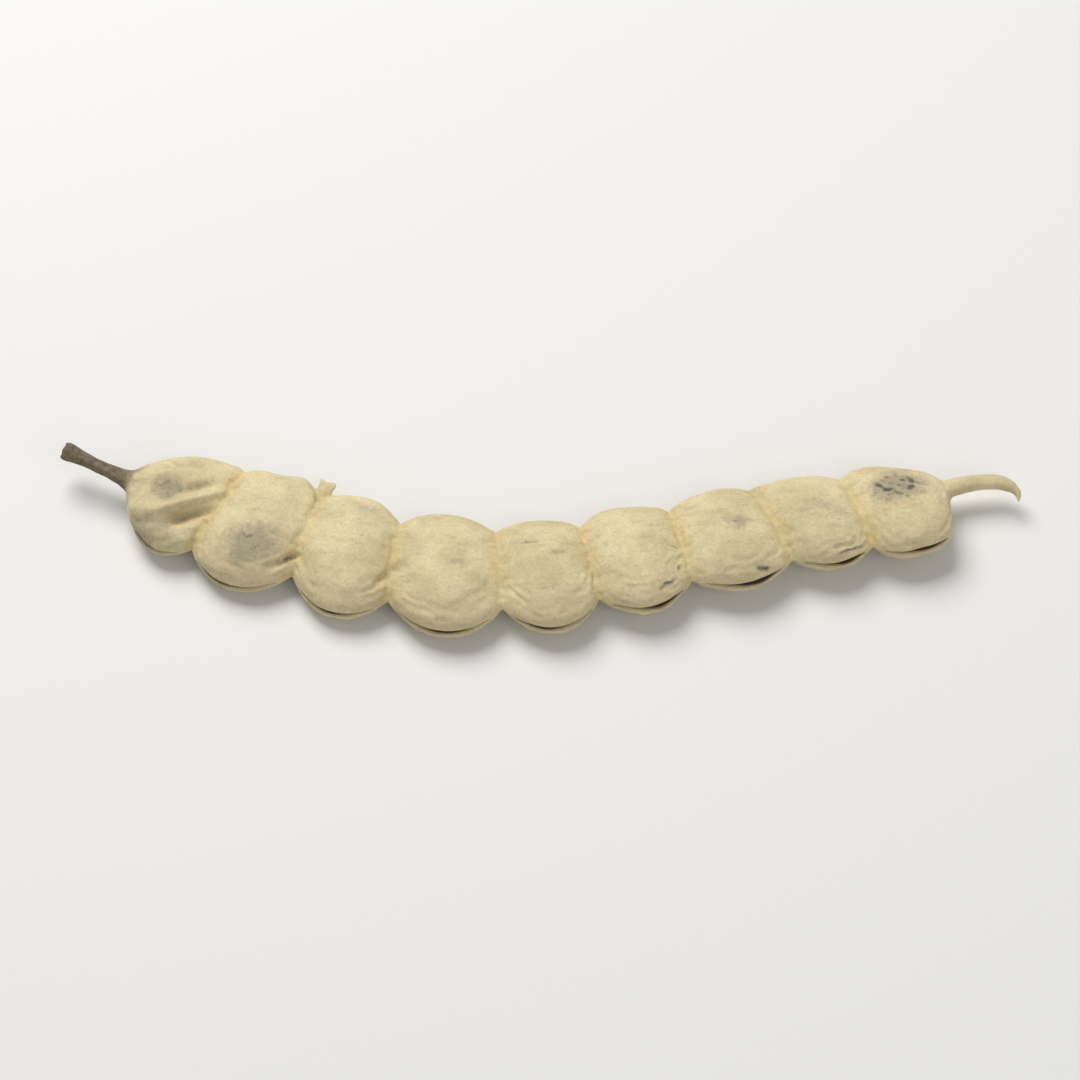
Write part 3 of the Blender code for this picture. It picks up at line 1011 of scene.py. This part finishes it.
def paint_masks(sculpt):
    """Masks for the material: where the felt has stains, is rubbed, split, woody or worn, and where
    shade is painted over the front flank with some dust, in a hollow and in two creases.
    """
    mesh = sculpt.mesh
    place = mesh.attributes.new("straight_place", "FLOAT_VECTOR", "POINT")
    place.data.foreach_set("vector", (sculpt.points * MM).astype(np.float32).ravel())
    write_mask(mesh, "stain", spread_of(STAINS_AND_SHADE, sculpt))
    write_mask(mesh, "scab", strokes_of(SCABS_AND_CREASE_SHADE, sculpt))
    write_mask(mesh, "pinch", np.maximum(rubbed_pinches(sculpt), spread_of(OCHRES_AND_CREASE_SHADE, sculpt)))
    from_middle = np.hypot(sculpt.points[:, 1], sculpt.points[:, 2])
    scar = smooth_step(*SCAR_ALONG, sculpt.points[:, 0]) * smooth_step(*SCAR_OUT, from_middle)
    write_mask(mesh, "scar", scar)
    write_mask(mesh, "bark", smooth_step(*BARK_BEFORE, sculpt.starts[0] - sculpt.station))
    write_mask(mesh, "tail", smooth_step(*TAIL_PAST, sculpt.station - sculpt.starts[-1]))
    write_mask(mesh, "flank", smooth_step(*FLANK_SHADE_AND_DUST_ACROSS, sculpt.across))


# ------------------------------------------------------------------ laying the pod down


def lay_along_bend(pod):
    """Bends the straight pod along the line that it dried in, then drops the guide."""
    deselect_all()
    bpy.ops.curve.primitive_bezier_curve_add(radius=1.0, location=(0.0, 0.0, 0.0))
    guide = bpy.context.object
    curve = guide.data
    curve.twist_mode = "Z_UP"
    curve.resolution_u = BEND_STEPS
    spline = curve.splines[0]
    spline.bezier_points.add(len(BEND) - len(spline.bezier_points))
    for point, (x, y, z, twist) in zip(spline.bezier_points, BEND):
        point.co = Vector((x, y, z)) * MM
        point.tilt = math.radians(twist)
        point.radius = 1.0
        point.handle_left_type = "AUTO"
        point.handle_right_type = "AUTO"
    bend = pod.modifiers.new("bend", "CURVE")
    bend.object = guide
    bend.deform_axis = "POS_X"
    apply_modifier(pod, "bend")
    bpy.data.objects.remove(guide)


def rest_in_frame(pod):
    """Centres the pod on the frame's box, keeps it under the box's top and lets it rest on the floor."""
    low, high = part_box("pod")
    count = len(pod.data.vertices)
    points = np.empty(count * 3)
    pod.data.vertices.foreach_get("co", points)
    points = points.reshape(-1, 3)
    middle = (points.min(axis=0) + points.max(axis=0)) / 2
    points[:, 0] += (low[0] + high[0]) / 2 - middle[0]
    points[:, 1] += (low[1] + high[1]) / 2 - middle[1]
    points[:, 2] = np.maximum(points[:, 2], low[2])
    points[:, 2] *= min(high[2] / points[:, 2].max(), 1.0)
    pod.data.vertices.foreach_set("co", points.ravel())
    pod.data.update()


# ------------------------------------------------------------------ the felt


def new_group(name, inputs, outputs):
    """An empty shader node group with the given sockets, as (name, kind, default)."""
    group = bpy.data.node_groups.new(name, "ShaderNodeTree")
    for socket, kind, default in inputs:
        made = group.interface.new_socket(socket, in_out="INPUT", socket_type=kind)
        if default is not None:
            made.default_value = default
    for socket, kind in outputs:
        group.interface.new_socket(socket, in_out="OUTPUT", socket_type=kind)
    return group


def add_node(tree, kind, **settings):
    node = tree.nodes.new(kind)
    for name, value in settings.items():
        setattr(node, name, value)
    return node


def feed(tree, socket, value):
    """Links a socket to another one, or sets it to a number or a colour."""
    if isinstance(value, bpy.types.NodeSocket):
        tree.links.new(value, socket)
    elif isinstance(value, (int, float)):
        socket.default_value = value
    else:
        socket.default_value = (*value, 1.0)


def add_noise(tree, vector, scale, detail, roughness=0.5, distortion=0.0):
    """Noise with about this many lumps to the metre, as a factor."""
    node = add_node(tree, "ShaderNodeTexNoise")
    feed(tree, node.inputs["Vector"], vector)
    feed(tree, node.inputs["Scale"], scale)
    feed(tree, node.inputs["Detail"], detail)
    feed(tree, node.inputs["Roughness"], roughness)
    feed(tree, node.inputs["Distortion"], distortion)
    return node.outputs["Fac"]


def add_math(tree, operation, *values):
    node = add_node(tree, "ShaderNodeMath", operation=operation)
    for socket, value in zip(node.inputs, values):
        feed(tree, socket, value)
    return node.outputs[0]


def add_range(tree, value, low, high, to_low=0.0, to_high=1.0):
    node = add_node(tree, "ShaderNodeMapRange", interpolation_type="SMOOTHSTEP")
    for name, number in (("From Min", low), ("From Max", high), ("To Min", to_low), ("To Max", to_high)):
        node.inputs[name].default_value = number
    tree.links.new(value, node.inputs["Value"])
    return node.outputs["Result"]


def add_mix(tree, factor, a, b, blend="MIX"):
    """Mixes two colours; a and b are sockets or colours."""
    node = add_node(tree, "ShaderNodeMix", data_type="RGBA", blend_type=blend)
    sockets = {socket.identifier: socket for socket in node.inputs}
    for key, value in (("Factor_Float", factor), ("A_Color", a), ("B_Color", b)):
        feed(tree, sockets[key], value)
    return next(socket for socket in node.outputs if socket.identifier == "Result_Color")


def add_attribute(tree, name):
    return add_node(tree, "ShaderNodeAttribute", attribute_name=name, attribute_type="GEOMETRY")


def broken_mask_group():
    """Breaks a smooth mask up with noise, so that its edge is ragged and its inside is patchy."""
    group = new_group(
        "broken_mask",
        (
            ("Mask", "NodeSocketFloat", 0.0),
            ("Place", "NodeSocketVector", None),
            ("Grain", "NodeSocketFloat", 1000.0),
            ("Raggedness", "NodeSocketFloat", 0.6),
        ),
        (("Mask", "NodeSocketFloat"),),
    )
    inside = group.nodes.new("NodeGroupInput")
    out = group.nodes.new("NodeGroupOutput")
    grain = add_noise(group, inside.outputs["Place"], inside.outputs["Grain"], 5.0, 0.62)
    centred = add_math(group, "SUBTRACT", grain, 0.5)
    rough = add_math(group, "MULTIPLY", centred, inside.outputs["Raggedness"])
    rough = add_math(group, "MULTIPLY", rough, 2.0)
    present = add_range(group, inside.outputs["Mask"], 0.02, 0.25)
    rough = add_math(group, "MULTIPLY", rough, present)
    total = add_math(group, "ADD", inside.outputs["Mask"], rough)
    result = add_range(group, total, 0.08, 0.92)
    group.links.new(result, out.inputs["Mask"])
    return group


def nap_group():
    """The relief of the felt: short matted hairs, as a height, and how light each tuft is."""
    group = new_group(
        "felt_nap",
        (
            ("Place", "NodeSocketVector", None),
            ("Tuft", "NodeSocketFloat", 2600.0),
        ),
        (("Height", "NodeSocketFloat"), ("Tone", "NodeSocketFloat")),
    )
    inside = group.nodes.new("NodeGroupInput")
    out = group.nodes.new("NodeGroupOutput")
    place = inside.outputs["Place"]
    tufts = add_noise(group, place, inside.outputs["Tuft"], 6.0, 0.68, 0.6)
    coarse = add_math(group, "MULTIPLY", inside.outputs["Tuft"], 0.32)
    matted = add_noise(group, place, coarse, 3.0)
    height = add_math(group, "MULTIPLY_ADD", matted, 0.9, tufts)
    group.links.new(height, out.inputs["Height"])
    tone = add_range(group, tufts, 0.30, 0.70)
    group.links.new(tone, out.inputs["Tone"])
    return group


def place_group(tree, group, **links):
    node = add_node(tree, "ShaderNodeGroup", node_tree=group)
    for name, value in links.items():
        feed(tree, node.inputs[name], value)
    return node


def break_up(tree, broken, mask, place, grain, raggedness):
    """A mask made ragged, with its grain in lumps to the metre."""
    node = place_group(tree, broken, Mask=mask, Place=place, Grain=grain, Raggedness=raggedness)
    return node.outputs["Mask"]


def tint(tree, colour, mask, strength, new_colour):
    """Lays a new colour over a colour where the mask shows it, as strongly as given."""
    return add_mix(tree, add_math(tree, "MULTIPLY", mask, strength), colour, new_colour)


# How strongly each kind of mark shows on the felt.
# painted shade over the front flank, with some dust
FLANK_SHADE_AND_DUST_SHOWS = 0.45
RUB_AND_CREASE_SHADE_SHOWS = 0.5
STAIN_AND_SHADE_SHOWS = 0.74
PITS_SHOW = 0.45
STREAKS_SHOW = 0.26
SPECKS_SHOW = 0.36
SCABS_SHOW = 0.92
TAIL_SHOWS = 0.15


def felt_material(looks):
    """Cream felt over a dry wall: mottled, rubbed tan at the pinches, with grey stains over some seeds,
    and painted shade over the front flank, in the slits, in a hollow and in two creases.
    """
    material = bpy.data.materials.new("babul_felt")
    material.use_nodes = True
    tree = material.node_tree
    shader = tree.nodes["Principled BSDF"]
    place = add_attribute(tree, "straight_place").outputs["Vector"]
    masks = {
        name: add_attribute(tree, name).outputs["Fac"]
        for name in ("stain", "scab", "pinch", "bark", "tail", "flank", "slit", "scar")
    }
    broken = broken_mask_group()
    nap = place_group(tree, nap_group(), Place=place, Tuft=2600.0)

    mottle = add_range(tree, add_noise(tree, place, 1 / (5.5 * MM), 4.0, 0.6), 0.32, 0.68)
    colour = add_mix(tree, mottle, looks.cream, looks.shade)
    # painted shade, with some dust: darker over the front flank, away from the light
    colour = tint(tree, colour, masks["flank"], FLANK_SHADE_AND_DUST_SHOWS, looks.shade)

    # ochre where the felt is rubbed, and painted brown shade in the first chamber's hollow and the
    # creases of the second and third
    rubbed = break_up(tree, broken, masks["pinch"], place, 420.0, 0.55)
    colour = tint(tree, colour, rubbed, RUB_AND_CREASE_SHADE_SHOWS, looks.tan)

    # grey stains over the seeds, and painted shade in the first chamber's hollow and over its lower
    # flank
    stain_and_shade = break_up(tree, broken, masks["stain"], place, 520.0, 0.62)
    colour = tint(tree, colour, stain_and_shade, STAIN_AND_SHADE_SHOWS, looks.grey)
    pits = add_range(tree, add_noise(tree, place, 1 / (0.75 * MM), 3.0, 0.6), 0.54, 0.70)
    pits = add_math(tree, "MULTIPLY", pits, stain_and_shade)
    colour = tint(tree, colour, pits, PITS_SHOW, looks.scab)

    brushed = add_node(tree, "ShaderNodeMapping", vector_type="POINT")
    brushed.inputs["Scale"].default_value = (0.3, 1.0, 1.0)
    tree.links.new(place, brushed.inputs["Vector"])
    streaks = add_noise(tree, brushed.outputs["Vector"], 1 / (1.1 * MM), 4.0, 0.6)
    colour = tint(tree, colour, add_range(tree, streaks, 0.50, 0.72), STREAKS_SHOW, looks.grey)

    specks = add_range(tree, add_noise(tree, place, 1 / (0.55 * MM), 2.0), 0.62, 0.76)
    colour = tint(tree, colour, specks, SPECKS_SHOW, looks.grey)

    tone = add_math(tree, "MULTIPLY_ADD", nap.outputs["Tone"], 0.20, 0.90)
    colour = add_mix(tree, 1.0, colour, add_tone(tree, tone), "MULTIPLY")

    # dark marks, and painted shade in the second chamber's crease
    scabs_and_crease_shade = break_up(tree, broken, masks["scab"], place, 1900.0, 0.45)
    colour = tint(tree, colour, scabs_and_crease_shade, SCABS_SHOW, looks.scab)

    grain = add_range(tree, add_noise(tree, place, 1 / (0.8 * MM), 5.0, 0.7), 0.3, 0.7, 0.6, 1.25)
    bark = add_mix(tree, 1.0, looks.bark, add_tone(tree, grain), "MULTIPLY")
    barked = break_up(tree, broken, masks["bark"], place, 700.0, 0.5)
    colour = add_mix(tree, barked, colour, bark)
    colour = add_mix(tree, masks["scar"], colour, looks.scar)
    colour = tint(tree, colour, masks["tail"], TAIL_SHOWS, looks.shade)
    # painted shade inside the slits, over a brown inner wall
    inside = add_range(tree, masks["slit"], 0.04, 0.40)
    colour = add_mix(tree, inside, colour, looks.inside)
    tree.links.new(colour, shader.inputs["Base Color"])

    bump = add_node(tree, "ShaderNodeBump")
    bump.inputs["Strength"].default_value = 0.55
    bump.inputs["Distance"].default_value = 0.10 * MM
    tree.links.new(nap.outputs["Height"], bump.inputs["Height"])
    tree.links.new(bump.outputs["Normal"], shader.inputs["Normal"])
    shader.inputs["Roughness"].default_value = 0.92
    shader.inputs["Specular IOR Level"].default_value = 0.25
    shader.inputs["Sheen Weight"].default_value = 0.12
    shader.inputs["Sheen Roughness"].default_value = 0.55
    shader.inputs["Sheen Tint"].default_value = (1.0, 0.95, 0.84, 1.0)
    return material


def add_tone(tree, value):
    """A grey of the given lightness, to multiply a colour by."""
    node = add_node(tree, "ShaderNodeCombineColor")
    for socket in node.inputs:
        tree.links.new(value, socket)
    return node.outputs["Color"]


# ------------------------------------------------------------------ operators


class BABUL_OT_pod(bpy.types.Operator):
    """Model the pod and let it stand for the frame's solid"""

    bl_idname = "babul.pod"
    bl_label = "Babul Pod"

    def execute(self, context):
        sizes = context.scene.pod_sizes
        starts = chamber_starts(sizes.stalk_length / MM)
        pod = extrude_rings(pod_rings(sizes.stalk_length / MM))
        crease_cusps(pod, starts)
        sink_scar(pod)
        raise_torn_flap(pod, starts)
        open_slits(pod, starts, sizes)
        subdivide(pod, sizes.fineness)
        sculpt = Sculpt(pod, starts)
        shape_shoulders(sculpt)
        swell_chambers(sculpt)
        sculpt.write()
        shape_seams(sculpt, sizes)
        sculpt.write()
        crease_pinches(sculpt)
        fold_faces(sculpt)
        sculpt.write()
        wrinkle_rings(sculpt)
        flute_stalk(sculpt)
        shape_tail(sculpt)
        roughen(sculpt)
        sculpt.write()
        paint_masks(sculpt)
        lay_along_bend(pod)
        rest_in_frame(pod)
        pod.data.shade_smooth()
        pod.data.materials.append(felt_material(context.scene.pod_looks))
        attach(pod, "root")
        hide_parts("pod")
        return {"FINISHED"}


# Each light: where it stands, how wide it is and its colour.
KEY_PLACE, KEY_SIZE, KEY_COLOUR = (-0.22, 0.42, 0.62), 0.55, (1.0, 0.985, 0.96)
FILL_PLACE, FILL_SIZE, FILL_COLOUR = (0.35, -0.55, 0.45), 0.70, (0.97, 0.985, 1.0)
SKY_COLOUR = (0.98, 0.99, 1.0, 1.0)


def area_light(name, place, target, size, power, colour):
    light = bpy.data.lights.new(name, "AREA")
    light.shape = "DISK"
    light.size = size
    light.energy = power
    light.color = colour
    lamp = bpy.data.objects.new(name, light)
    lamp.location = place
    lamp.rotation_euler = (Vector(target) - Vector(place)).to_track_quat("-Z", "Y").to_euler()
    bpy.context.scene.collection.objects.link(lamp)


class BABUL_OT_stage(bpy.types.Operator):
    """Set the pale floor, the soft lights and the camera"""

    bl_idname = "babul.stage"
    bl_label = "Stage"

    def execute(self, context):
        stage = context.scene.stage_settings
        low, high = (Vector(corner) for corner in cad_box)
        middle = (low + high) / 2
        self.add_floor(stage, low.z)
        area_light("key", KEY_PLACE, middle, KEY_SIZE, stage.key_power, KEY_COLOUR)
        area_light("fill", FILL_PLACE, middle, FILL_SIZE, stage.fill_power, FILL_COLOUR)
        self.add_sky(context, stage.sky)
        camera = bpy.data.objects.new("camera", bpy.data.cameras.new("camera"))
        camera.data.lens = stage.lens
        camera.data.clip_start = 0.01
        direction = Vector((0.0, -math.cos(stage.camera_height), math.sin(stage.camera_height)))
        camera.location = middle + direction * stage.camera_distance
        camera.rotation_euler = (-direction).to_track_quat("-Z", "Y").to_euler()
        context.scene.collection.objects.link(camera)
        context.scene.camera = camera
        context.scene.view_settings.view_transform = "Standard"
        return {"FINISHED"}

    def add_floor(self, stage, height):
        deselect_all()
        bpy.ops.mesh.primitive_plane_add(size=stage.floor_size, location=(0.0, 0.0, height))
        apply_transform()
        floor = bpy.context.object
        floor.name = "floor"
        material = bpy.data.materials.new("floor_matt")
        material.use_nodes = True
        shader = material.node_tree.nodes["Principled BSDF"]
        shader.inputs["Base Color"].default_value = (*stage.floor_colour, 1.0)
        shader.inputs["Roughness"].default_value = 0.9
        floor.data.materials.append(material)

    def add_sky(self, context, strength):
        world = bpy.data.worlds.new("sky")
        context.scene.world = world
        world.use_nodes = True
        background = world.node_tree.nodes["Background"]
        background.inputs["Color"].default_value = SKY_COLOUR
        background.inputs["Strength"].default_value = strength


class BABUL_PT_panel(bpy.types.Panel):
    """The pod's settings and steps"""

    bl_idname = "BABUL_PT_panel"
    bl_label = "Babul Pod"
    bl_space_type = "VIEW_3D"
    bl_region_type = "UI"
    bl_category = "Babul Pod"

    def draw(self, context):
        scene = context.scene
        for group in (scene.pod_sizes, scene.pod_looks, scene.stage_settings):
            box = self.layout.box()
            for name in group.__annotations__:
                box.prop(group, name)
        for operator in (BABUL_OT_pod, BABUL_OT_stage):
            self.layout.operator(operator.bl_idname)


CLASSES = (PodSizes, PodLooks, StageSettings, BABUL_OT_pod, BABUL_OT_stage, BABUL_PT_panel)


def register():
    for cls in CLASSES:
        bpy.utils.register_class(cls)
    bpy.types.Scene.pod_sizes = PointerProperty(type=PodSizes)
    bpy.types.Scene.pod_looks = PointerProperty(type=PodLooks)
    bpy.types.Scene.stage_settings = PointerProperty(type=StageSettings)


def unregister():
    for name in ("pod_sizes", "pod_looks", "stage_settings"):
        delattr(bpy.types.Scene, name)
    for cls in reversed(CLASSES):
        bpy.utils.unregister_class(cls)


def main():
    register()
    bpy.ops.babul.pod()
    bpy.ops.babul.stage()


if __name__ == "__main__":
    main()
